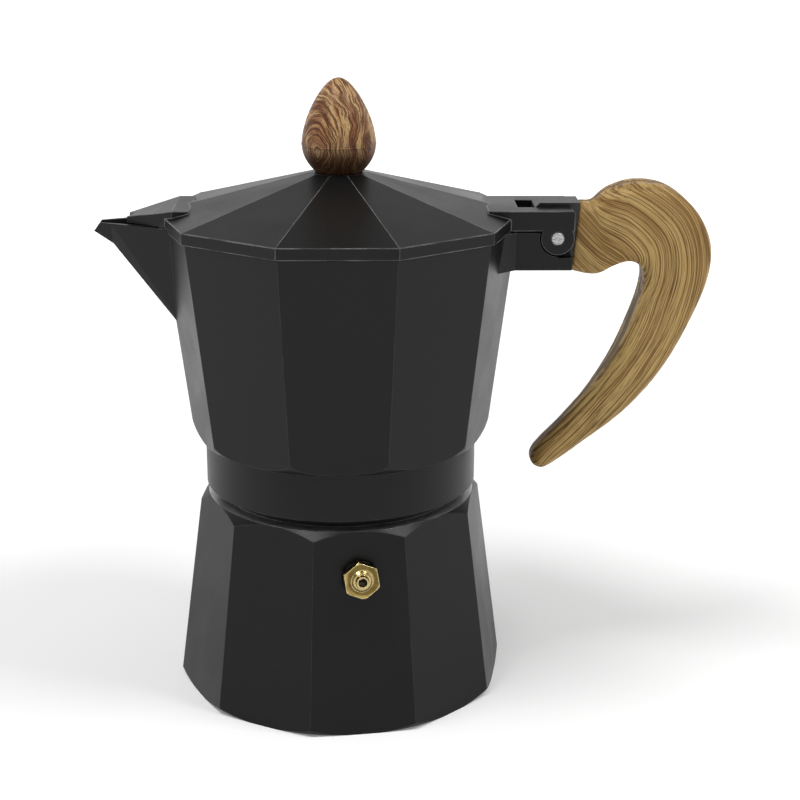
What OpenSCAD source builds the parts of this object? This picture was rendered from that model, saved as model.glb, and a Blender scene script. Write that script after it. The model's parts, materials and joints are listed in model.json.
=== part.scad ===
// Stove-top coffee pot in three-cup size, built as separate parts.
// The origin is the centre of the foot. +Z is up, +X points to the handle, -X to the spout.

/* [View] */
// part to show, or all

/* [Boiler] */
// corner radius of the ten-sided foot
foot_r = 47.15; // [42:0.05:52]
// corner radius where the shoulder starts
shoulder_r = 39.9; // [36:0.1:44]
// height where the facets end at the corners
shoulder_z = 54.0; // [48:0.5:60]
// height of the flat ledge round the neck
ledge_z = 56.3; // [50:0.1:62]
// radius at the ledge of the cone turned off the shoulder
shoulder_turn_r = 37.6; // [36:0.1:40]
// radius at the foot of the cone turned off the lower edge
foot_turn_r = 45.0; // [42:0.1:47]
// turn of the ten facets about the upright axis
boiler_turn = 7.8; // [0:0.1:36]
// inside radius at the floor
boiler_in_r = 41.0; // [38:0.1:42]
// inside radius below the shoulder
boiler_in_top_r = 35.2; // [33:0.1:36]
// floor thickness
boiler_floor = 3.2; // [2:0.1:5]
// outside radius of the screwed neck
neck_r = 33.6; // [30:0.1:36]
// bore radius of the neck
neck_bore_r = 31.2; // [28:0.1:34]
// top of the neck
neck_z = 69.0; // [66:0.1:72]
// rise for one turn of the screw
thread_pitch = 3.0; // [2:0.5:4]
// height of the lowest thread ridge
thread_z = 60.6; // [60:0.1:63]
// how far the thread ridges stand out
thread_out = 0.65; // [0.4:0.05:0.7]

/* [Safety valve] */
// height of the valve on the facet
valve_z = 43.7; // [35:0.1:48]
// width across flats of the hexagon
hex_af = 9.0; // [8:0.1:12]
// thickness of the hexagon
hex_h = 3.1; // [2:0.1:5]
// turn of the hexagon when screwed tight
hex_turn = 8; // [0:1:59]
// radius of the washer
washer_r = 4.6; // [4.5:0.1:5.5]
// radius of the screwed shank
shank_r = 3.25; // [3:0.05:4]
// radius of the bore that holds the spring
spring_bore_r = 2.3; // [2:0.1:2.6]
// radius of the steam hole
steam_hole_r = 1.22; // [1:0.02:1.5]

/* [Funnel] */
// outside radius of the coffee cup
cup_r = 30.6; // [26:0.1:31]
// wall thickness of cup and tube
cup_wall = 0.8; // [0.5:0.1:1.5]
// outside radius of the tube
tube_r = 4.6; // [3.5:0.1:6]
// lower end of the tube
tube_end_z = 7.0; // [5:0.5:12]
// underside of the coffee cup at its wall
cup_floor_z = 49.0; // [46:0.1:52]
// lower end of the socket that holds the tube
socket_z = 35.5; // [32:0.5:38]
// outside radius of the rim that rests on the neck
cup_rim_r = 33.2; // [32:0.1:33.5]

/* [Upper chamber] */
// outside radius of the collar
collar_r = 38.0; // [36:0.1:40]
// lower edge of the collar
collar_z = 59.0; // [57:0.1:61]
// corner radius of the chamber at the rim
rim_r = 48.8; // [44:0.1:52]
// height of the chamber rim
rim_z = 131.8; // [120:0.1:140]
// corner radius of the chamber at the lower bend
waist_r = 42.04; // [39:0.01:45]
// height of the lower bend
waist_z = 77.0; // [74:0.1:80]
// wall thickness of the chamber
chamber_wall = 2.3; // [1.5:0.1:3.5]
// height of the chamber floor
floor_z = 76.9; // [75:0.1:80]
// radius of the rounded lower edge
underside_r = 5.5; // [3:0.1:8]
// height of the ceiling that presses on the gasket
ceiling_z = 73.4; // [72:0.1:75]
// radius of the opening above the filter plate
well_r = 26.0; // [20:0.5:28]
// height of the riser above the floor
riser_h = 42.0; // [30:0.5:46]
// radius of the riser bore
riser_bore_r = 3.1; // [2.5:0.1:4]

/* [Lid] */
// corner radius of the lid edge
lid_r = 49.75; // [45:0.05:53]
// height of the lid edge
lid_edge_z = 135.2; // [130:0.1:140]
// height of the lid centre
lid_top_z = 146.2; // [140:0.1:150]
// wall thickness of the lid
lid_wall = 1.8; // [1:0.1:3]
// height of the flat hinge arms
arm_top_z = 137.4; // [135:0.1:140]

/* [Hinge] */
// distance of the pin from the upright axis
pin_x = 58.7; // [52:0.1:65]
// height of the pin
pin_z = 130.0; // [125:0.1:135]
// radius of the pin
pin_r = 1.65; // [1:0.05:3]
// half width of bracket and arms
hinge_w = 11.5; // [8:0.1:14]
// half width of the slot in the arms
slot_w = 5.5; // [4:0.1:8]
// underside of the bracket
bracket_z = 121.3; // [118:0.1:125]

/* [Knob] */
// greatest radius of the knob
knob_r = 10.15; // [8:0.05:12]
// height of the knob above the lid
knob_h = 25.2; // [20:0.1:30]

/* [Handle] */
// half thickness of the grip
grip_t = 7.4; // [6:0.1:10]
// half thickness of the grip beside the hinge
grip_neck_t = 5.0; // [4:0.1:6]

/* [Hidden] */
$fn = 96;
cut = 0.05;
sides = 10;
flat_k = cos(180 / sides);
boiler_slope = (foot_r - shoulder_r) / shoulder_z;
valve_apothem = (foot_r - boiler_slope * valve_z) * flat_k;
valve_tilt = atan(boiler_slope * flat_k);
body_slope = (rim_r - waist_r) / (rim_z - waist_z);
lid_slope = (lid_top_z - lid_edge_z) / (lid_r - 7.5);
lid_lip_z = rim_z + 0.25;
knob_z = lid_top_z;
thread_turns = 3;
valve_hole_r = shank_r + 0.05;
valve_face = 0.5;
strainer_r = 28.7;
gasket_r = 34.0;
sheet = 0.7;
riser_seat_r = 5.0;
riser_tip_r = 4.2;
spout_z = rim_z + 0.8;
tab_z = spout_z + 0.25;
screw_r = 1.88;
insert_r = 3.0;
egg_wide = 0.3;
core_w = 5.0;
tongue_t = 2.4;
bracket_top_z = lid_lip_z - 0.5;
ear_r = 4.5;
ear_y = 7.8;
arm_end_x = pin_x + ear_r;

black = [0.075, 0.075, 0.08];
bare = [0.72, 0.72, 0.74];
brass = [0.72, 0.58, 0.25];

module ring(ro, ri, z0, z1)
{
  translate([0, 0, z0])
    difference() {
      cylinder(r = ro, h = z1 - z0);
      translate([0, 0, -1]) cylinder(r = ri, h = z1 - z0 + 2);
    }
}

module tenside(z0, r0, z1, r1)
{
  translate([0, 0, z0]) cylinder(r1 = r0, r2 = r1, h = z1 - z0, $fn = sides);
}

// axis along Y, for everything that turns on the hinge pin
module cross_round(r, x, z, y0, y1)
{
  translate([x, y1, z]) rotate([90, 0, 0]) cylinder(r = r, h = y1 - y0);
}

module side_plate(pts, y0, y1)
{
  translate([0, y1, 0]) rotate([90, 0, 0]) linear_extrude(height = y1 - y0) polygon(pts);
}

// local +Z leaves the boiler wall at the middle of the valve facet
module on_valve()
{
  rotate([0, 0, boiler_turn - 90])
    translate([valve_apothem, 0, valve_z])
      rotate([0, 90 - valve_tilt, 0]) children();
}

module boiler()
{
  top = ledge_z + 4;
  color(black)
  difference() {
    union() {
      intersection() {
        rotate([0, 0, boiler_turn]) tenside(0, foot_r, top, foot_r - boiler_slope * top);
        boiler_turning();
      }
      translate([0, 0, ledge_z - 6]) cylinder(r = neck_r, h = neck_z - ledge_z + 6);
      for (k = [0 : thread_turns - 1]) thread_ridge(thread_z + k * thread_pitch);
    }
    boiler_hollow();
    on_valve() {
      translate([0, 0, -12]) cylinder(r = valve_hole_r, h = 14, $fn = 48);
      translate([0, 0, -0.45]) cylinder(r = washer_r + 0.3, h = 5, $fn = 48);
    }
  }
}

// the round blank whose two cones cut across the facets at the foot and the shoulder
module boiler_turning()
{
  blank_r = foot_r + 1.85;
  foot_cone_h = blank_r - foot_turn_r;
  shoulder_cone_h = blank_r - shoulder_turn_r;
  cylinder(r1 = foot_turn_r, r2 = blank_r, h = foot_cone_h);
  translate([0, 0, foot_cone_h]) cylinder(r = blank_r, h = ledge_z - shoulder_cone_h - foot_cone_h);
  translate([0, 0, ledge_z - shoulder_cone_h]) cylinder(r1 = blank_r, r2 = shoulder_turn_r, h = shoulder_cone_h);
}

module boiler_hollow()
{
  top = boiler_floor + 45.0;
  translate([0, 0, boiler_floor]) cylinder(r1 = boiler_in_r, r2 = boiler_in_top_r, h = 45.0);
  translate([0, 0, top - cut]) cylinder(r1 = boiler_in_top_r, r2 = neck_bore_r, h = 3.0);
  translate([0, 0, top + 2.8]) cylinder(r = neck_bore_r, h = 30);
}

module thread_ridge(z)
{
  half = 0.3 * thread_pitch;
  crest = 0.3 * half;
  translate([0, 0, z])
    rotate_extrude()
      polygon([[neck_r - 0.4, -half], [neck_r, -half], [neck_r + thread_out, -crest], [neck_r + thread_out, crest],
        [neck_r, half], [neck_r - 0.4, half]]);
}

// one turned step of the valve, from height z
module turned(z, r1, r2, h)
{
  translate([0, 0, z]) cylinder(r1 = r1, r2 = r2, h = h, $fn = 48);
}

module valve_body()
{
  corner_r = hex_af / 2 / cos(30);
  chamfer = 0.4;
  top = valve_face + hex_h;
  color(brass)
  on_valve()
  difference() {
    union() {
      turned(-7.0, shank_r, shank_r, 7.0 + valve_face + cut);
      intersection() {
        rotate([0, 0, hex_turn]) translate([0, 0, valve_face]) cylinder(r = corner_r, h = hex_h, $fn = 6);
        turned(valve_face, corner_r + hex_h - chamfer, corner_r - chamfer, hex_h);
      }
      turned(top - cut, 2.9, 2.25, 0.7);
      turned(top + 0.6, 1.95, 1.6, 0.95);
    }
    turned(-8, spring_bore_r, spring_bore_r, 11.0);
    turned(1, steam_hole_r, steam_hole_r, 8);
  }
}

module valve_washer()
{
  color(black) on_valve()
  difference() {
    turned(-0.4, washer_r, washer_r, 0.85);
    turned(-1, valve_hole_r, valve_hole_r, 3);
  }
}

module valve_seat()
{
  color(brass) on_valve()
  difference() {
    turned(-7.0, spring_bore_r - 0.02, spring_bore_r - 0.02, 1.6);
    turned(-8, 1.3, 1.3, 3);
  }
}

module valve_plunger()
{
  color(bare) on_valve() {
    turned(-5.3, 1.95, 1.95, 0.8);
    turned(-4.55, 0.6, 0.6, 5.6);
  }
}

// round wire from straight pieces, one turn in twelve steps
module valve_spring()
{
  color(bare) on_valve()
  for (i = [0 : 71]) hull() {
    wire_bead(i);
    wire_bead(i + 1);
  }
}

module wire_bead(i)
{
  rotate([0, 0, i * 30]) translate([1.55, 0, -4.15 + i * 0.0945]) rotate([90, 0, 0])
    cylinder(r = 0.25, h = 0.02, center = true, $fn = 8);
}

// rim, cup wall, cone and the socket that holds the tube, in one pressed piece
module funnel_basket()
{
  rim_z = neck_z + 0.1;
  in_r = cup_r - cup_wall;
  socket_r = tube_r + 0.9;
  cone_r = cup_r - 3.2;
  cone_z = socket_z + 5.1;
  color(bare)
  rotate_extrude()
    polygon([[cup_rim_r, rim_z], [cup_rim_r, rim_z + cup_wall], [in_r, rim_z + cup_wall],
      [in_r, cup_floor_z + sheet], [cone_r - 0.4, cup_floor_z + sheet], [cone_r - 0.4, cup_floor_z + 0.2],
      [socket_r + 0.3, cone_z + 1.0], [tube_r + 0.02, cone_z + 0.6], [tube_r + 0.02, socket_z],
      [socket_r, socket_z], [socket_r, cone_z], [cone_r, cup_floor_z - 0.8], [cup_r, cup_floor_z], [cup_r, rim_z]]);
}

module funnel_screen()
{
  color(bare)
  difference() {
    translate([0, 0, cup_floor_z + sheet + 0.05]) cylinder(r = cup_r - cup_wall - 0.05, h = sheet);
    perforation(cup_floor_z, 4.6);
  }
}

module funnel_tube()
{
  color(bare) ring(tube_r, tube_r - cup_wall, tube_end_z, socket_z + 5.5);
}

module gasket()
{
  groove_r = gasket_r - 2.5;
  color([0.86, 0.86, 0.83])
  difference() {
    ring(gasket_r, strainer_r + 0.3, neck_z + 1.0, ceiling_z - 0.1);
    ring(groove_r + 0.4, groove_r - 0.4, neck_z + 0.5, neck_z + 1.4);
  }
}

module filter_plate()
{
  color(bare)
  difference() {
    union() {
      translate([0, 0, ceiling_z - 0.9]) cylinder(r = strainer_r, h = 0.8);
      ring(strainer_r, strainer_r - 1, ceiling_z - 1.9, ceiling_z - 0.85);
    }
    perforation(ceiling_z - 1.4, 4.2);
  }
}

// five rings of small round holes round one in the middle
module perforation(z, step)
{
  hole_r = 0.7;
  translate([0, 0, z]) cylinder(r = hole_r, h = 2, $fn = 16);
  for (k = [1 : 5])
    for (a = [0 : 6 * k - 1])
      rotate([0, 0, a * 60 / k]) translate([k * step, 0, z]) cylinder(r = hole_r, h = 2, $fn = 16);
}

module chamber_outside()
{
  low_z = floor_z - 8.9;
  bend_r = waist_r - 5.44;
  bend_z = waist_z + 0.4;
  intersection() {
    tenside(low_z, waist_r - body_slope * (waist_z - low_z), rim_z, rim_r);
    union() {
      translate([0, 0, bend_z - underside_r]) cylinder(r = bend_r, h = 70);
      translate([0, 0, bend_z]) cylinder(r = 60, h = 70);
      rotate_extrude() translate([bend_r, bend_z]) circle(r = underside_r, $fn = 64);
    }
  }
}

module chamber_inside()
{
  in_k = chamber_wall / flat_k;
  low = waist_r - body_slope * (waist_z - floor_z) - in_k;
  tenside(floor_z, low, rim_z + 5, rim_r + body_slope * 5 - in_k);
}

// convex wedge across the middle plane; each point is given once and mirrored
module wedge(points)
{
  both = [for (p = points) each [p, [p[0], -p[1], p[2]]]];
  hull() polyhedron(both, [for (i = [2 : len(both) - 1]) [0, i - 1, i]]);
}

// two flat cheeks that meet in a keel, and a flatter beak at the end
module spout_outside()
{
  beak = [[-61.6, 0.9, 126.6], [-61.6, 3.75, spout_z]];
  wedge([[-41, 13.4, spout_z], [-41, 0.8, 99.1], each beak]);
  wedge([each beak, [-66.7, 0.9, 130.1], [-64.9, 2.2, spout_z]]);
}

module spout_inside()
{
  wedge([[-36, 12.6, 136], [-36, 0.4, 97.6], [-59.9, 0.4, 129.3], [-68.5, 0.5, 133.0], [-66.0, 1.9, 136]]);
}

module bracket_block()
{
  side_plate([[43, bracket_z], [62.7, bracket_z], [63.1, bracket_top_z], [43, bracket_top_z]], -hinge_w, hinge_w);
  translate([0, 0, bracket_z]) linear_extrude(height = bracket_top_z - bracket_z)
    polygon([[40, -17.6], [47.3, -hinge_w], [47.3, hinge_w], [40, 17.6]]);
}

module upper_chamber()
{
  collar_top_z = collar_z + 13.5;
  color(black)
  difference() {
    union() {
      chamber_outside();
      translate([0, 0, collar_z]) cylinder(r1 = collar_r - 0.4, r2 = collar_r, h = 0.4);
      translate([0, 0, collar_z + 0.4]) cylinder(r = collar_r, h = collar_top_z - collar_z - 0.4);
      spout_outside();
      bracket_block();
    }
    chamber_inside();
    intersection() {
      spout_inside();
      translate([-100, -20, 96]) cube([65, 40, 60]);
    }
    collar_bore();
    translate([51.3, 0.2 - slot_w, bracket_z + 2]) cube([20, 2 * slot_w - 0.4, 20]);
    for (side = [-1, 1]) ear_recess(side);
    cross_round(pin_r + 0.01, pin_x, pin_z, -20, 20);
  }
}

// clears the thread ridges, then the gasket, then opens into the well and the riser seat
module collar_bore()
{
  translate([0, 0, collar_z - 1]) cylinder(r = collar_r - 2.8, h = 10.0);
  translate([0, 0, collar_z + 1]) cylinder(r = gasket_r + 0.35, h = ceiling_z - collar_z - 1);
  translate([0, 0, ceiling_z - cut]) cylinder(r = well_r, h = 1.6);
  translate([0, 0, ceiling_z - 1]) cylinder(r = riser_seat_r, h = 6);
}

module ear_recess(side)
{
  y0 = side > 0 ? ear_y - 0.3 : -20;
  depth = 20 - ear_y + 0.3;
  cross_round(ear_r + 0.4, pin_x, pin_z, y0, y0 + depth);
  translate([pin_x, y0, pin_z - ear_r - 0.8]) cube([20, depth, 20]);
}

module riser_column()
{
  color(black)
  difference() {
    union() {
      translate([0, 0, ceiling_z + 0.5]) cylinder(r = riser_seat_r - 0.02, h = 4);
      translate([0, 0, floor_z]) cylinder(r1 = 9.0, r2 = 6.4, h = 5.0);
      translate([0, 0, floor_z + 5.0 - cut]) cylinder(r1 = 6.4, r2 = 4.7, h = riser_h - 9.0);
      translate([0, 0, floor_z + riser_h - 4.1]) cylinder(r = riser_tip_r, h = 4.0);
    }
    translate([0, 0, ceiling_z - 3]) cylinder(r = riser_bore_r, h = 60);
  }
}

// cap with a slot on each side that turns the rising coffee outwards
module riser_cap()
{
  cap_z = floor_z + riser_h - 4.0;
  color(black)
  difference() {
    intersection() {
      translate([0, 0, cap_z]) cylinder(r1 = 5.3, r2 = 6.1, h = 11.0);
      translate([0, 0, cap_z]) sphere(r = 11.0);
    }
    translate([0, 0, cap_z - 1]) cylinder(r = riser_tip_r + 0.01, h = 8.6);
    for (a = [90, 270])
      rotate([0, 0, a]) translate([0, -1.7, cap_z + 4.6]) cube([9, 3.4, 3.0]);
  }
}

module lid_shell()
{
  tenside(lid_lip_z, lid_r, lid_edge_z, lid_r);
  tenside(lid_edge_z - cut, lid_r, lid_top_z, 7.5);
}

module lid_hollow()
{
  edge_z = lid_edge_z - 1.9;
  intersection() {
    union() {
      tenside(edge_z, lid_r, lid_top_z - 2.0, 7.7);
      tenside(rim_z - 0.8, lid_r, edge_z + 0.01, lid_r);
    }
    tenside(rim_z - 1.8, lid_r - 2.9, lid_top_z + 3.8, lid_r - 2.9);
  }
}

// low wall that keeps the closed lid centred in the chamber
module lid_skirt()
{
  skirt_r = lid_r - 4.25;
  difference() {
    tenside(rim_z - 2.2, skirt_r, lid_edge_z - 0.2, skirt_r);
    tenside(rim_z - 2.8, skirt_r - 1.6, lid_edge_z + 0.8, skirt_r - 1.6);
  }
}

module lid_arms()
{
  side_plate([[40, lid_lip_z], [arm_end_x, lid_lip_z], [arm_end_x, arm_top_z - 0.4], [arm_end_x - 0.4, arm_top_z],
    [40, arm_top_z]], -hinge_w, hinge_w);
  for (y = [-hinge_w, ear_y])
    cross_round(ear_r, pin_x, pin_z, y, y + hinge_w - ear_y);
}

module spout_tab()
{
  half = hinge_w;
  root_x = -44.4;
  intersection() {
    translate([0, 0, tab_z]) linear_extrude(height = 8)
      polygon([[-40, half], [root_x, half], [-57.4, 3.0], [-55.4, 0], [-57.4, -3.0], [root_x, -half], [-40, -half]]);
    side_plate([[-40, 132], [-40, arm_top_z], [root_x, arm_top_z], [-58.5, 134.2], [-58.5, 132]], -14, 14);
  }
}

module lid()
{
  slot_x = 48.2;
  color(black) {
    difference() {
      union() {
        lid_shell();
        lid_arms();
        spout_tab();
      }
      lid_hollow();
      translate([-60, -14.2, 128]) cube([19, 28.4, tab_z - 128]);
      translate([slot_x, -slot_w, 120]) cube([30, 2 * slot_w, 30]);
      translate([slot_x, 0.15 - ear_y, 120]) cube([30, 2 * ear_y - 0.3, arm_top_z - 2.5 - 120]);
      cross_round(pin_r + 0.08, pin_x, pin_z, -20, 20);
      translate([0, 0, lid_top_z - 6]) cylinder(r = screw_r + 0.22, h = 10, $fn = 32);
    }
    lid_skirt();
  }
}

// radius of the egg at t of its height, as a share of the widest radius
function egg_r(t) = t < egg_wide
  ? 1 - 0.38 * pow((egg_wide - t) / egg_wide, 2.1)
  : let (up = (t - egg_wide) / (1 - egg_wide)) sqrt(max(0, 1 - up * up)) * (1 - 0.28 * pow(up, 1.5));

module egg(r, h)
{
  steps = 28;
  rotate_extrude()
    polygon([[0, 0], for (k = [0 : steps]) let (t = 0.5 - 0.5 * cos(180 * k / steps)) [r * egg_r(t), h * t]]);
}

module lid_knob()
{
  color([0.36, 0.2, 0.12])
  difference() {
    translate([0, 0, knob_z]) egg(knob_r, knob_h);
    translate([0, 0, knob_z - 1]) cylinder(r = insert_r, h = 12.5, $fn = 48);
  }
}

module knob_insert()
{
  color(brass) ring(insert_r, screw_r + 0.02, knob_z, knob_z + 11.0);
}

// countersunk screw from inside the lid, with a cross recess
module knob_screw()
{
  head_z = lid_top_z - 4.8;
  color(bare)
  difference() {
    union() {
      translate([0, 0, head_z + 1.9]) cylinder(r = screw_r, h = 12.5, $fn = 48);
      translate([0, 0, head_z]) cylinder(r1 = 3.2, r2 = 3.8, h = 1.95, $fn = 48);
    }
    for (a = [0, 90])
      rotate([0, 0, a]) translate([-2.6, -0.45, head_z - 0.4]) cube([5.2, 0.9, 1.3]);
  }
}

module knob_washer()
{
  color(bare) ring(4.9, screw_r + 0.12, lid_top_z - 2.85, lid_top_z - 2.05);
}

module hinge_pin()
{
  color(bare) cross_round(pin_r, pin_x, pin_z, -hinge_w - 0.1, hinge_w + 0.1);
}

// part of the core that is buried in the grip
core_tongue = [[63.4, 124.6], [70, 124.4], [76, 126.6], [82, 127.2], [87.5, 123.5], [89.6, 118], [89.4, 110],
  [93.4, 109.6], [94.8, 118], [93.4, 126], [88, 133], [80, 136], [72, 134.6], [64.6, 134.2]];

module handle_core()
{
  color(black)
  difference() {
    union() {
      side_plate([[53.0, 123.35], [63.53, 123.35], [65.2, 138.5], [54.2, 138.5], [53.0, 137.2]],
        -core_w, core_w);
      side_plate(core_tongue, -tongue_t, tongue_t);
    }
    cross_round(pin_r + 0.01, pin_x, pin_z, -20, 20);
  }
}

// outline of the grip, from the top beside the hinge round the curl to the bottom beside the hinge
grip_line = [[65.2, 138.5], [68.8, 138.3], [72.6, 141.4], [78.6, 143.4], [84.5, 143.6], [90.3, 141.9],
  [96.3, 137.2], [100.3, 131.0], [101.9, 124.6], [101.1, 117.0], [97.9, 107.8], [92.3, 96.0], [86.1, 86.6],
  [77.8, 77.6], [68.2, 69.1], [59.6, 62.7], [56.4, 61.6], [53.8, 64.0], [55.2, 68.0], [61.9, 75.2], [70.2, 85.4],
  [77.1, 96.8], [81.6, 108.2], [83.4, 114.8], [83.5, 119.2], [81.7, 121.5], [78.8, 122.2], [74.6, 120.4],
  [71.7, 118.6], [68.5, 118.2], [63.1, 119.4]];
grip_n = len(grip_line);
grip_sub = 3;

function clampi(i) = max(0, min(grip_n - 1, i));
function spline(a, b, c, d, t) = 0.5 * (2 * b + (c - a) * t + (2 * a - 5 * b + 4 * c - d) * t * t
  + (3 * b - a - 3 * c + d) * t * t * t);
grip_fine = [for (i = [0 : grip_n - 2]) for (k = [0 : grip_sub - 1])
  spline(grip_line[clampi(i - 1)], grip_line[i], grip_line[i + 1], grip_line[clampi(i + 2)], k / grip_sub),
  grip_line[grip_n - 1]];
fine_n = len(grip_fine);

function side_dir(p, q) = [p[1] - q[1], q[0] - p[0]] / norm(q - p);
function inset(pts, d) = [for (i = [0 : len(pts) - 1])
  let (m = side_dir(pts[max(0, i - 1)], pts[min(len(pts) - 1, i + 1)])) pts[i] - d * m];

module grip_layer(d, thin)
{
  intersection() {
    side_plate(inset(grip_fine, d), -grip_t, grip_t);
    translate([0, 0, 50]) linear_extrude(height = 100)
      polygon([[50, thin - grip_neck_t], [68.5, thin - grip_neck_t], [79, thin - grip_t], [110, thin - grip_t],
        [110, grip_t - thin], [79, grip_t - thin], [68.5, grip_neck_t - thin], [50, grip_neck_t - thin]]);
  }
}

module handle_grip()
{
  color([0.72, 0.56, 0.35])
  difference() {
    union() {
      grip_layer(0, 2.4);
      grip_layer(0.6, 1.1);
      grip_layer(1.7, 0);
    }
    side_plate(core_tongue, -tongue_t, tongue_t);
  }
}

boiler();
valve_body();
valve_washer();
valve_seat();
valve_plunger();
valve_spring();
funnel_basket();
funnel_screen();
funnel_tube();
gasket();
filter_plate();
upper_chamber();
riser_column();
riser_cap();
lid();
lid_knob();
knob_insert();
knob_screw();
knob_washer();
hinge_pin();
handle_core();
handle_grip();
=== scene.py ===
"""Looks of a three-cup stove-top coffee pot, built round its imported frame.

+X points to the handle, -X to the spout and -Y to the side with the safety valve.
"""

import json
import math

import bmesh
import bpy
from mathutils import Euler, Matrix, Vector
from mathutils.kdtree import KDTree


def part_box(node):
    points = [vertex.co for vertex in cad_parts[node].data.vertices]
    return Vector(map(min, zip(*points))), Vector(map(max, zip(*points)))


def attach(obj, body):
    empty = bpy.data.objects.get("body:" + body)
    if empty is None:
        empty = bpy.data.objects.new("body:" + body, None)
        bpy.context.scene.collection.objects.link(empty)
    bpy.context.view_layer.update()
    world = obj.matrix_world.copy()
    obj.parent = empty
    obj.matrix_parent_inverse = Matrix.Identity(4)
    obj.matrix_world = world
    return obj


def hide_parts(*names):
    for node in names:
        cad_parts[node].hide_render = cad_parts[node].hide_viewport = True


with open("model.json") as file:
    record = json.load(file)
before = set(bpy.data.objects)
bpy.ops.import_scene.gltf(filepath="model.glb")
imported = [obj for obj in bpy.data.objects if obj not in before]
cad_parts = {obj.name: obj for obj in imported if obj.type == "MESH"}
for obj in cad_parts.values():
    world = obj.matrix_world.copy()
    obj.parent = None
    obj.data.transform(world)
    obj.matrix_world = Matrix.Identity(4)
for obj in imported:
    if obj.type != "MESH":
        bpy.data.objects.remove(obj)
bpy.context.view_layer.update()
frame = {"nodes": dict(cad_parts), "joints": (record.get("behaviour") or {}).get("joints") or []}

MM = 0.001
NODES = frame["nodes"]
JOINTS = {joint["name"]: joint for joint in frame["joints"]}


# ---------------------------------------------------------------- studio

# The view looks down on the valve side and aims a little to the handle side of the upright axis.
# Pitch, roll and the turn about the upright axis are in degrees.
VIEW_PITCH = 17.41
VIEW_ROLL = 0.30
VIEW_TURN = -1.68
VIEW_DISTANCE = 476.3 * MM
VIEW_AIM = Vector((18.4 * MM, 0, 81.4 * MM))
LENS = 75.9
LENS_SHIFT = -0.0072


def make_camera():
    data = bpy.data.cameras.new("view_camera")
    data.lens = LENS
    data.shift_x = LENS_SHIFT
    data.clip_start = 0.01
    camera = bpy.data.objects.new("view_camera", data)
    bpy.context.scene.collection.objects.link(camera)
    turn = Euler((math.radians(90 - VIEW_PITCH), 0, 0)).to_matrix()
    turn = turn @ Matrix.Rotation(math.radians(VIEW_ROLL), 3, "Z")
    about_pot = Matrix.Rotation(math.radians(VIEW_TURN), 3, "Z")
    camera.rotation_euler = (about_pot @ turn).to_euler()
    camera.location = about_pot @ (VIEW_AIM + turn @ Vector((0, 0, VIEW_DISTANCE)))
    bpy.context.scene.camera = camera


def softbox(name, place, aim, size, power):
    data = bpy.data.lights.new(name, "AREA")
    data.shape = "RECTANGLE"
    data.size, data.size_y = size
    data.energy = power
    light = bpy.data.objects.new(name, data)
    light.location = place
    light.rotation_euler = (Vector(aim) - Vector(place)).to_track_quat("-Z", "Y").to_euler()
    bpy.context.scene.collection.objects.link(light)


def make_world():
    """White to the sides and low behind, dim in front and overhead, as in a white sweep."""
    world = bpy.data.worlds.new("studio")
    bpy.context.scene.world = world
    world.use_nodes = True
    g = Graph(world.node_tree)
    way = g.split(g.add("ShaderNodeTexCoord", out="Generated"))
    beside = g.spread(way["Y"], -0.80, -0.10)
    low = g.spread(way["Z"], 0.85, 0.25)
    light = g.spread(g.math("MULTIPLY", beside, low), 0, 1, 0.12, 1.0)
    seen = g.add("ShaderNodeLightPath", out="Is Camera Ray")
    strength = g.math("MAXIMUM", light, seen)
    background = g.add("ShaderNodeBackground", out="Background", Color=(1, 1, 1, 1), Strength=strength)
    output = world.node_tree.nodes.new("ShaderNodeOutputWorld")
    world.node_tree.links.new(background, output.inputs["Surface"])


def make_floor():
    """Pale paper that glows more with the distance from the pot, so that it fades to white."""
    mesh = bpy.data.meshes.new("floor")
    reach = 12.0
    corners = [(-reach, -reach, 0), (reach, -reach, 0), (reach, reach, 0), (-reach, reach, 0)]
    mesh.from_pydata(corners, [], [(0, 1, 2, 3)])
    floor = bpy.data.objects.new("floor", mesh)
    bpy.context.scene.collection.objects.link(floor)
    g = Graph.material("floor_paper")
    glow = g.spread(radius_from_axis(g), 0.0, 0.9, 0.16, 0.80)
    g.surface(Base_Color=grey(0.9), Roughness=0.9, Specular_IOR_Level=0.1, Emission_Color=grey(1.0),
              Emission_Strength=glow)
    mesh.materials.append(g.owner)


# ---------------------------------------------------------------- shader graph helpers


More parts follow.
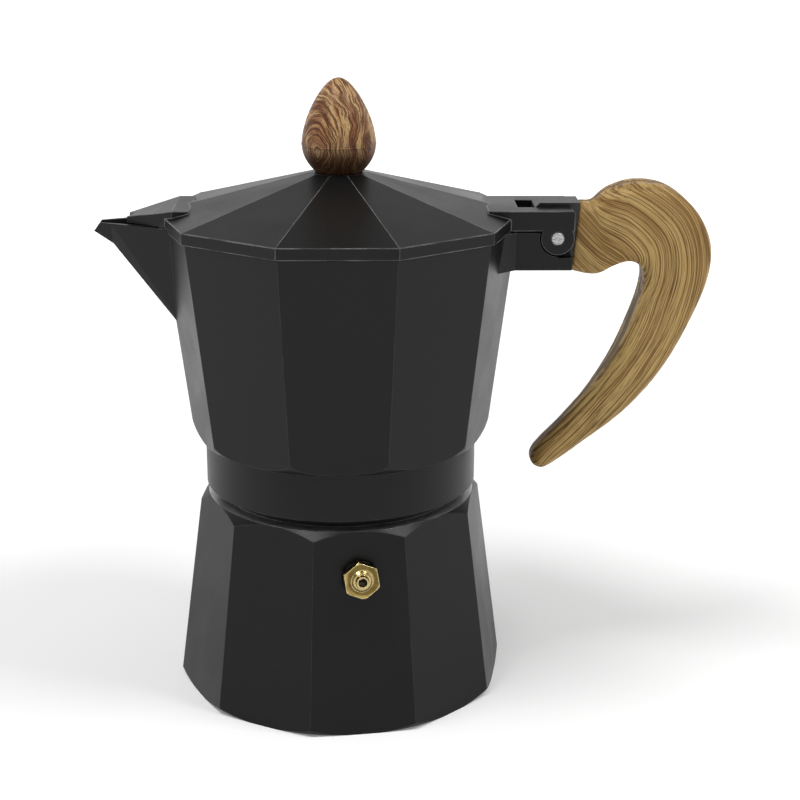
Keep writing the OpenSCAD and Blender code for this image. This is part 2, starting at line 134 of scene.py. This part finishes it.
class Graph:
    """Makes and links shader nodes; inputs are given by socket name, as values or as other nodes' outputs."""

    def __init__(self, tree, owner=None):
        self.tree = tree
        self.owner = owner
        tree.nodes.clear()

    @classmethod
    def material(cls, name):
        made = bpy.data.materials.new(name)
        made.use_nodes = True
        return cls(made.node_tree, made)

    def put(self, socket, value):
        if isinstance(value, bpy.types.NodeSocket):
            self.tree.links.new(value, socket)
        else:
            socket.default_value = value

    def add(self, kind, out=0, props=None, **inputs):
        node = self.tree.nodes.new(kind)
        for key, value in (props or {}).items():
            setattr(node, key, value)
        for key, value in inputs.items():
            self.put(node.inputs[key.replace("_", " ")], value)
        return node.outputs[out]

    def math(self, operation, *values):
        node = self.tree.nodes.new("ShaderNodeMath")
        node.operation = operation
        for socket, value in zip(node.inputs, values):
            self.put(socket, value)
        return node.outputs[0]

    def vector_math(self, operation, *values, out=0):
        node = self.tree.nodes.new("ShaderNodeVectorMath")
        node.operation = operation
        for socket, value in zip(node.inputs, values):
            self.put(socket, value)
        return node.outputs[out]

    def split(self, vector):
        """The outputs X, Y and Z of a vector."""
        node = self.tree.nodes.new("ShaderNodeSeparateXYZ")
        self.put(node.inputs[0], vector)
        return node.outputs

    def join(self, x, y, z):
        return self.add("ShaderNodeCombineXYZ", X=x, Y=y, Z=z)

    def spread(self, value, low, high, to_low=0.0, to_high=1.0):
        """A smooth step from to_low to to_high as value goes from low to high."""
        return self.add("ShaderNodeMapRange", props={"interpolation_type": "SMOOTHSTEP"}, Value=value,
                        From_Min=low, From_Max=high, To_Min=to_low, To_Max=to_high)

    def between(self, kind, sort, factor, first, second):
        """A mix node of that data type; sort is the ending of its socket identifiers."""
        node = self.tree.nodes.new("ShaderNodeMix")
        node.data_type = kind
        sockets = {socket.identifier: socket for socket in node.inputs}
        self.put(sockets["Factor_Float"], factor)
        self.put(sockets["A_" + sort], first)
        self.put(sockets["B_" + sort], second)
        return next(socket for socket in node.outputs if socket.identifier == "Result_" + sort)

    def mix(self, factor, first, second):
        """A blend of two colours."""
        return self.between("RGBA", "Color", factor, first, second)

    def blend(self, factor, first, second):
        """A blend of two numbers."""
        return self.between("FLOAT", "Float", factor, first, second)

    def noise(self, vector, period, detail=3.0, distortion=0.0, roughness=0.5):
        """Cloudy values whose features are about one period wide."""
        return self.add("ShaderNodeTexNoise", Vector=vector, Scale=1 / period, Detail=detail,
                        Distortion=distortion, Roughness=roughness)

    def place(self):
        return self.add("ShaderNodeTexCoord", out="Object")

    def rounded(self, radius):
        return self.add("ShaderNodeBevel", props={"samples": 4}, Radius=radius)

    def edges(self, radius, full=0.965):
        """1 along edges that the rounding of that radius bends, 0 on the faces; full is a cosine."""
        slight = 0.999
        flat = self.add("ShaderNodeNewGeometry", out="True Normal")
        alike = self.vector_math("DOT_PRODUCT", self.rounded(radius), flat, out="Value")
        return self.spread(alike, slight, full)

    def crevices(self, distance):
        """1 deep in corners and gaps of about that width, 0 in the open."""
        open_to = self.add("ShaderNodeAmbientOcclusion", out="AO", props={"samples": 8}, Distance=distance)
        return self.spread(open_to, 0.85, 0.35)

    def bump(self, height, depth, normal=None, strength=1.0):
        inputs = {"Height": height, "Distance": depth, "Strength": strength}
        if normal is not None:
            inputs["Normal"] = normal
        return self.add("ShaderNodeBump", **inputs)

    def surface(self, **inputs):
        shader = self.add("ShaderNodeBsdfPrincipled", **inputs)
        output = self.tree.nodes.new("ShaderNodeOutputMaterial")
        self.tree.links.new(shader, output.inputs["Surface"])
        return self.owner


def grey(value):
    return (value, value, value, 1)


# ---------------------------------------------------------------- metals and paint


def inward(g):
    """1 where a face looks towards the upright axis, as inside a pot, or straight up or down.

    The normal is in world space and the place in the object's own, so this holds only while the body isn't turned.
    """
    normal = g.add("ShaderNodeNewGeometry", out="True Normal")
    away = g.vector_math("NORMALIZE", g.vector_math("MULTIPLY", g.place(), (1, 1, 0)))
    facing = g.vector_math("DOT_PRODUCT", normal, away, out="Value")
    return g.spread(facing, 0.03, 0.01)


def radius_from_axis(g):
    return g.vector_math("LENGTH", g.vector_math("MULTIPLY", g.place(), (1, 1, 0)), out="Value")


def turning_marks(g, period):
    """Fine rings left by a lathe, from the distance to the upright axis and the height."""
    height = g.split(g.place())["Z"]
    return g.noise(g.join(radius_from_axis(g), 0, height), period, detail=2)


def painted(name, bare=None, full=0.965, rub_and_highlight=0.12):
    """Satin black paint on cast aluminium, lighter along edges where it is rubbed thin, and as a painted highlight
    on the lid's ridges; bare(g) marks where there is none.
    """
    g = Graph.material(name)
    place = g.place()
    cloud = g.noise(place, 22 * MM, detail=4, distortion=0.6)
    peel = g.noise(place, 1.1 * MM, detail=3)
    dust = g.noise(place, 0.35 * MM, detail=1)
    patchy = g.spread(g.noise(place, 7 * MM, detail=5), 0.35, 0.60, 0.35, 1.0)
    wear_and_highlight = g.math("MULTIPLY", g.edges(0.35 * MM, full), g.math("MULTIPLY", patchy, rub_and_highlight))
    colour = g.mix(cloud, grey(0.0045), grey(0.0070))
    colour = g.mix(g.spread(dust, 0.70, 0.78), colour, grey(0.02))
    # Lighter grey along edges: partly wear of the paint, partly a painted highlight where the strength is high, as
    # on the lid.
    colour = g.mix(wear_and_highlight, colour, (0.30, 0.30, 0.31, 1))
    rough = g.math("ADD", g.spread(cloud, 0.3, 0.7, 0.29, 0.37), g.math("MULTIPLY", peel, 0.06))
    metal = 0.0
    if bare:
        mask = bare(g)
        marks = turning_marks(g, 0.4 * MM)
        cast = g.noise(place, 6 * MM, detail=5)
        colour = g.mix(mask, colour, g.mix(cast, (0.52, 0.52, 0.53, 1), (0.70, 0.70, 0.71, 1)))
        rough = g.blend(mask, rough, g.spread(marks, 0.3, 0.7, 0.26, 0.42))
        metal = mask
    normal = g.bump(peel, 0.02 * MM, normal=g.rounded(0.4 * MM), strength=0.35)
    return g.surface(Base_Color=colour, Metallic=metal, Roughness=rough, Normal=normal, Specular_IOR_Level=0.20)


def bare_aluminium(name):
    """Turned aluminium with fine rings and faint stains."""
    g = Graph.material(name)
    marks = turning_marks(g, 0.35 * MM)
    stain = g.noise(g.place(), 9 * MM, detail=5, distortion=0.8)
    colour = g.mix(stain, (0.58, 0.58, 0.59, 1), (0.78, 0.78, 0.79, 1))
    # Painted highlight: lighter along the edges.
    colour = g.mix(g.math("MULTIPLY", g.edges(0.2 * MM), 0.5), colour, grey(0.9))
    normal = g.bump(marks, 0.012 * MM, normal=g.rounded(0.15 * MM), strength=0.6)
    rough = g.spread(stain, 0.3, 0.7, 0.24, 0.38)
    return g.surface(Base_Color=colour, Metallic=1.0, Roughness=rough, Normal=normal)


def brass(name):
    """Bright turned brass; the turning rings run round the valve axis."""
    low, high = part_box("valve_body")
    axis = JOINTS["valve_plunger_slide"]["axis"]
    g = Graph.material(name)
    out = g.vector_math("SUBTRACT", g.place(), (low + high) / 2)
    away = g.vector_math("LENGTH", g.vector_math("CROSS_PRODUCT", out, axis), out="Value")
    along = g.vector_math("DOT_PRODUCT", out, axis, out="Value")
    rings = g.noise(g.join(away, along, 0), 0.22 * MM, detail=2)
    tarnish = g.noise(g.place(), 2.5 * MM, detail=4, distortion=0.5)
    colour = g.mix(g.spread(tarnish, 0.35, 0.7), (0.40, 0.30, 0.10, 1), (0.26, 0.18, 0.055, 1))
    # Painted shade: a dark ring on the turned front face, from the nozzle out to the hexagon's edge.
    past_nozzle = g.spread(away, 2.7 * MM, 3.1 * MM)
    within_edge = g.spread(away, 4.5 * MM, 4.1 * MM)
    face_ring_shade = g.math("MULTIPLY", past_nozzle, within_edge)
    colour = g.mix(g.math("MULTIPLY", face_ring_shade, 0.8), colour, (0.10, 0.065, 0.018, 1))
    colour = g.mix(g.crevices(1.2 * MM), colour, (0.08, 0.045, 0.012, 1))
    # Painted highlight: light brass colour along the edges.
    colour = g.mix(g.edges(0.32 * MM), colour, (0.85, 0.72, 0.40, 1))
    normal = g.bump(rings, 0.004 * MM, normal=g.rounded(0.10 * MM), strength=0.5)
    rough = g.spread(tarnish, 0.3, 0.7, 0.20, 0.30)
    return g.surface(Base_Color=colour, Metallic=1.0, Roughness=rough, Normal=normal)


def peened(name):
    """Aluminium pin with hammered ends."""
    g = Graph.material(name)
    dents = g.add("ShaderNodeTexVoronoi", out="Distance", Vector=g.place(), Scale=1 / (0.7 * MM))
    colour = g.mix(g.noise(g.place(), 0.5 * MM), grey(0.20), grey(0.60))
    normal = g.bump(dents, 0.12 * MM, normal=g.rounded(0.25 * MM), strength=0.8)
    return g.surface(Base_Color=colour, Metallic=1.0, Roughness=0.34, Normal=normal)


def steel(name):
    """Drawn steel of the spring and the screw."""
    g = Graph.material(name)
    drawn = g.noise(g.place(), 0.3 * MM, detail=2)
    colour = g.mix(drawn, grey(0.42), grey(0.62))
    normal = g.bump(drawn, 0.01 * MM, normal=g.rounded(0.1 * MM))
    rough = g.spread(drawn, 0.3, 0.7, 0.2, 0.34)
    return g.surface(Base_Color=colour, Metallic=1.0, Roughness=rough, Normal=normal)


# ---------------------------------------------------------------- plastics, rubber and wood print


def moulded(name, colour, rough, pattern):
    """Plain moulded plastic or rubber with a fine mould texture."""
    g = Graph.material(name)
    fine = g.noise(g.place(), pattern, detail=3)
    broad = g.noise(g.place(), 12 * pattern, detail=3)
    tint = g.mix(broad, tuple(0.82 * c for c in colour) + (1,), tuple(1.12 * c for c in colour) + (1,))
    normal = g.bump(fine, 0.03 * MM, normal=g.rounded(0.25 * MM), strength=0.5)
    uneven = g.spread(fine, 0.3, 0.7, rough - 0.05, rough + 0.07)
    return g.surface(Base_Color=tint, Roughness=uneven, Normal=normal, Specular_IOR_Level=0.4)


def wood_colours(g, bands, lines, pores, light, dark, deep):
    """Light wood with broad brown bands, finer grain lines and short dark pores."""
    colour = g.mix(bands, light, dark)
    colour = g.mix(lines, colour, deep)
    return g.mix(pores, colour, tuple(0.45 * c for c in deep[:3]) + (1,))


def grip_wood(name):
    """Wood print that runs along the grip: the grain attribute holds mm along, across and through it."""
    g = Graph.material(name)
    grain = g.add("ShaderNodeAttribute", out="Vector", props={"attribute_name": "grain"})
    sway = g.noise(g.vector_math("MULTIPLY", grain, (0.03, 0.10, 0.10)), 1.0, detail=2)
    shift = g.join(0, g.math("MULTIPLY", g.math("SUBTRACT", sway, 0.5), 3.0), 0)
    grain = g.vector_math("ADD", grain, shift)

    def streaks(length, width, detail, low, high):
        stretched = g.vector_math("MULTIPLY", grain, (1 / length, 1 / width, 0.12 / width))
        return g.spread(g.noise(stretched, 1.0, detail=detail), low, high)

    bands = g.math("MULTIPLY", streaks(80, 3.0, 3, 0.40, 0.66), 0.8)
    lines = g.math("MULTIPLY", streaks(40, 0.42, 4, 0.44, 0.62), 0.8)
    pores = g.math("MULTIPLY", streaks(4.5, 0.20, 1, 0.54, 0.68), 0.5)
    light, dark, deep = (0.50, 0.345, 0.135, 1), (0.27, 0.145, 0.045, 1), (0.11, 0.046, 0.013, 1)
    colour = wood_colours(g, bands, lines, pores, light, dark, deep)
    side = g.math("ABSOLUTE", g.split(g.place())["Y"])
    middle = g.spread(side, 1.1 * MM, 0.3 * MM)
    seam = g.math("MULTIPLY", middle, g.add("ShaderNodeAttribute", out="Fac", props={"attribute_name": "rim"}))
    colour = g.mix(g.math("MULTIPLY", seam, 0.7), colour, (0.05, 0.024, 0.008, 1))
    normal = g.bump(g.math("ADD", lines, pores), 0.03 * MM, strength=0.5)
    return g.surface(Base_Color=colour, Roughness=g.spread(bands, 0, 1, 0.50, 0.42), Normal=normal,
                     Specular_IOR_Level=0.1)


def knob_wood(name):
    """Wood print of growth rings that close round a heart low on the valve side."""
    low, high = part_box("lid_knob")
    height = high.z - low.z
    heart = Vector((-6.0 * MM, low.y, low.z + 0.24 * height))
    g = Graph.material(name)
    out = g.vector_math("SUBTRACT", g.place(), heart)

    def bend(period, by):
        return g.math("MULTIPLY", g.math("SUBTRACT", g.noise(out, period, detail=2), 0.5), by)

    bends = g.math("ADD", bend(8 * MM, 5 * MM), bend(1.4 * MM, 0.35 * MM))
    out = g.vector_math("ADD", out, g.join(bends, 0, 0))
    away = g.vector_math("LENGTH", g.vector_math("MULTIPLY", out, (1.0, 0.30, 0.50)), out="Value")

    def rings(width, along, detail, start, end):
        spot = g.vector_math("MULTIPLY", out, (1 / along, 1 / along, 1 / along))
        spot = g.vector_math("ADD", spot, g.join(g.math("DIVIDE", away, width), 0, 0))
        return g.spread(g.noise(spot, 1.0, detail=detail), start, end)

    bands = g.math("MULTIPLY", rings(1.3 * MM, 12 * MM, 3, 0.40, 0.60), 0.9)
    lines = g.math("MULTIPLY", rings(0.30 * MM, 5 * MM, 2, 0.42, 0.58), 0.85)
    pores = g.math("MULTIPLY", rings(0.20 * MM, 0.7 * MM, 1, 0.54, 0.68), 0.6)
    light, dark, deep = (0.52, 0.33, 0.15, 1), (0.26, 0.11, 0.045, 1), (0.075, 0.022, 0.009, 1)
    colour = wood_colours(g, bands, lines, pores, light, dark, deep)
    # Painted shade: the lower part of the egg, which faces the dark lid, is darkened.
    up = g.split(g.place())["Z"]
    low_painted_shade = g.spread(up, low.z + 0.05 * height, low.z + 0.42 * height, 0.82, 0)
    colour = g.mix(low_painted_shade, colour, (0.02, 0.009, 0.005, 1))
    normal = g.bump(g.math("ADD", lines, pores), 0.03 * MM, strength=0.5)
    return g.surface(Base_Color=colour, Roughness=g.spread(bands, 0, 1, 0.48, 0.40), Normal=normal,
                     Specular_IOR_Level=0.2)


# ---------------------------------------------------------------- pieces that stand for CAD solids


def smooth_piece(name, mesh, body, node, material):
    """A smooth-shaded piece that rides a body and is seen in place of a CAD node."""
    for face in mesh.polygons:
        face.use_smooth = True
    mesh.materials.append(material)
    piece = bpy.data.objects.new(name, mesh)
    bpy.context.scene.collection.objects.link(piece)
    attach(piece, body)
    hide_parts(node)
    return piece


def skin(bm, loops):
    """Faces between closed loops that follow each other; a loop of one point closes an end."""
    for below, above in zip(loops, loops[1:]):
        count = max(len(below), len(above))
        for k in range(count):
            n = (k + 1) % count
            if len(below) == 1:
                bm.faces.new((below[0], above[n], above[k]))
            elif len(above) == 1:
                bm.faces.new((below[k], below[n], above[0]))
            else:
                bm.faces.new((below[k], below[n], above[n], above[k]))
    bmesh.ops.recalc_face_normals(bm, faces=bm.faces)


# Height of the widest place of the egg, where the halves of its mould met, as a share of its height.
KNOB_WIDEST_AT = 0.30


def knob_radius(t):
    """Radius of the egg at t of its height, as a share of the widest radius."""
    if t < KNOB_WIDEST_AT:
        return 1 - 0.38 * ((KNOB_WIDEST_AT - t) / KNOB_WIDEST_AT) ** 2.1
    up = (t - KNOB_WIDEST_AT) / (1 - KNOB_WIDEST_AT)
    return math.sqrt(max(0.0, 1 - up * up)) * (1 - 0.28 * up ** 1.5)


def make_knob():
    """Turned egg with the raised line where the two halves of its mould met."""
    low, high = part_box("lid_knob")
    widest, height = high.x, high.z - low.z
    seam_t, seam_half, seam_out = KNOB_WIDEST_AT, 0.006, 0.11 * MM
    around, steps = 128, 72
    heights = [0.5 - 0.5 * math.cos(math.pi * k / steps) for k in range(1, steps)]
    heights += [seam_t - 2 * seam_half, seam_t - seam_half, seam_t + seam_half, seam_t + 1.3 * seam_half]
    profile = [(0.0, 0.0), (knob_radius(0), 0.0)]
    profile += [(knob_radius(t), t) for t in sorted(heights)]
    profile += [(0.0, 1.0)]

    bm = bmesh.new()
    loops = []
    for share, t in profile:
        radius = share * (widest - seam_out)
        if t > seam_t + seam_half:
            radius += 0.35 * seam_out * (1 - t)
        if abs(t - seam_t) <= 1.01 * seam_half:
            radius += seam_out
        z = low.z + t * height
        if share == 0:
            loops.append([bm.verts.new((0, 0, z))])
            continue
        loops.append([bm.verts.new((radius * math.cos(a), radius * math.sin(a), z))
                      for a in (2 * math.pi * k / around for k in range(around))])
    skin(bm, loops)
    mesh = bpy.data.meshes.new("knob_egg")
    bm.to_mesh(mesh)
    bm.free()
    return smooth_piece("knob_egg", mesh, "lid_unit", "lid_knob", knob_wood("knob_wood_print"))


# Line inside the grip that its grain follows from the hinge to the tip, in mm, as (x, z).
GRIP_SPINE = [(64.2, 125.5), (71.0, 126.0), (78.0, 127.3), (84.0, 125.6), (87.6, 120.5), (88.2, 113.5),
              (85.8, 104.0), (80.4, 93.0), (73.0, 82.6), (64.6, 73.2), (58.6, 67.2), (54.9, 62.7)]


def curve_point(points, t):
    """Catmull-Rom curve through the points, t from 0 to 1."""
    last = len(points) - 1
    spot = min(t * last, last - 1e-6)
    i, u = int(spot), spot - int(spot)
    a, b, c, d = (Vector(points[min(max(i + k, 0), last)]) for k in (-1, 0, 1, 2))
    return 0.5 * (2 * b + (c - a) * u + (2 * a - 5 * b + 4 * c - d) * u * u + (3 * b - a - 3 * c + d) * u ** 3)


def rounded_copy(node, voxel, passes):
    """A copy of a CAD mesh with its steps and edges rounded off."""
    carver = bpy.data.objects.new("carver", node.data.copy())
    bpy.context.scene.collection.objects.link(carver)
    remesh = carver.modifiers.new("remesh", "REMESH")
    remesh.mode = "VOXEL"
    remesh.voxel_size = voxel
    smooth = carver.modifiers.new("smooth", "SMOOTH")
    smooth.factor = 0.5
    smooth.iterations = passes
    graph = bpy.context.evaluated_depsgraph_get()
    mesh = bpy.data.meshes.new_from_object(carver.evaluated_get(graph))
    bpy.data.objects.remove(carver)
    mesh.materials.clear()
    return mesh


def make_grip():
    """Grip with soft edges; the grain runs along its spine and slants across the part beside the hinge."""
    mesh = rounded_copy(NODES["handle_grip"], 0.5 * MM, 14)
    mesh.name = "grip_shell"
    steps = 400
    spine = [curve_point(GRIP_SPINE, k / steps) for k in range(steps + 1)]
    lengths = [0.0]
    for before, after in zip(spine, spine[1:]):
        lengths.append(lengths[-1] + (after - before).length)
    finder = KDTree(steps + 1)
    for k, point in enumerate(spine):
        finder.insert((point.x, 0, point.y), k)
    finder.balance()

    slant, slant_end = 1.25, 40.0
    grain, rim = [], []
    for vert in mesh.vertices:
        x, y, z = vert.co / MM
        point, k, gap = finder.find((x, 0, z))
        ahead = (spine[min(k + 1, steps)] - spine[max(k - 1, 0)]).normalized()
        off = Vector((x, z)) - spine[k]
        along = lengths[k] + off.dot(ahead)
        across = ahead.x * off.y - ahead.y * off.x
        skew = slant / (2 * slant_end) * max(0.0, slant_end - along) ** 2
        grain += [along, across - skew, y]
        rim.append((1 - abs(vert.normal.y)) ** 2)
    mesh.attributes.new("grain", "FLOAT_VECTOR", "POINT").data.foreach_set("vector", grain)
    mesh.attributes.new("rim", "FLOAT", "POINT").data.foreach_set("value", rim)
    return smooth_piece("grip_shell", mesh, "jug", "handle_grip", grip_wood("grip_wood_print"))


# ---------------------------------------------------------------- the scene


def boiler_bare(g):
    """The inside, the screwed part of the neck and the machined foot face of the boiler carry no paint."""
    neck_radius, wall_radius, paint_top, foot_top = 35.5 * MM, 42.5 * MM, 59.2 * MM, 0.02 * MM
    height = g.split(g.place())["Z"]
    neck = g.math("LESS_THAN", radius_from_axis(g), neck_radius)
    top = g.math("GREATER_THAN", height, paint_top)
    foot = g.math("LESS_THAN", height, foot_top)
    inside = g.math("MULTIPLY", inward(g), g.math("LESS_THAN", radius_from_axis(g), wall_radius))
    return g.math("MAXIMUM", g.math("MAXIMUM", inside, foot), g.math("MULTIPLY", neck, top))


def jug_bare(g):
    """The inside of the upper chamber and its rim carry no paint. See inward() for a turned chamber."""
    wall_radius = 48.9 * MM
    return g.math("MULTIPLY", inward(g), g.math("LESS_THAN", radius_from_axis(g), wall_radius))


def dress(material, *names):
    """Gives the material to CAD nodes."""
    for name in names:
        for slot in NODES[name].material_slots:
            slot.material = material


make_camera()
make_world()
make_floor()
pot_middle = (0, 0, 0.05)
softbox("key", place=(-0.35, -0.25, 1.05), aim=pot_middle, size=(0.45, 0.35), power=6.5)
softbox("fill", place=(0.55, -0.2, 0.95), aim=pot_middle, size=(0.3, 0.3), power=4.0)

dress(painted("boiler_paint", boiler_bare), "boiler")
dress(painted("jug_paint", jug_bare), "upper_chamber")
# On the lid the light lines along the ridges are a painted highlight.
dress(painted("lid_paint", full=0.9972, rub_and_highlight=0.75), "lid")
dress(bare_aluminium("turned_aluminium"), "funnel_basket", "funnel_screen", "funnel_tube", "filter_plate",
      "riser_column", "riser_cap", "knob_washer", "valve_plunger")
dress(brass("valve_brass"), "valve_body", "valve_seat", "knob_insert")
dress(peened("pin_aluminium"), "hinge_pin")
dress(steel("drawn_steel"), "valve_spring", "knob_screw")
dress(moulded("seal_rubber", (0.72, 0.71, 0.66), 0.6, 0.5 * MM), "gasket")
dress(moulded("washer_fibre", (0.010, 0.009, 0.008), 0.6, 0.3 * MM), "valve_washer")
dress(moulded("core_plastic", (0.018, 0.018, 0.019), 0.4, 0.4 * MM), "handle_core")
make_knob()
make_grip()

bpy.context.scene.view_settings.view_transform = "Standard"
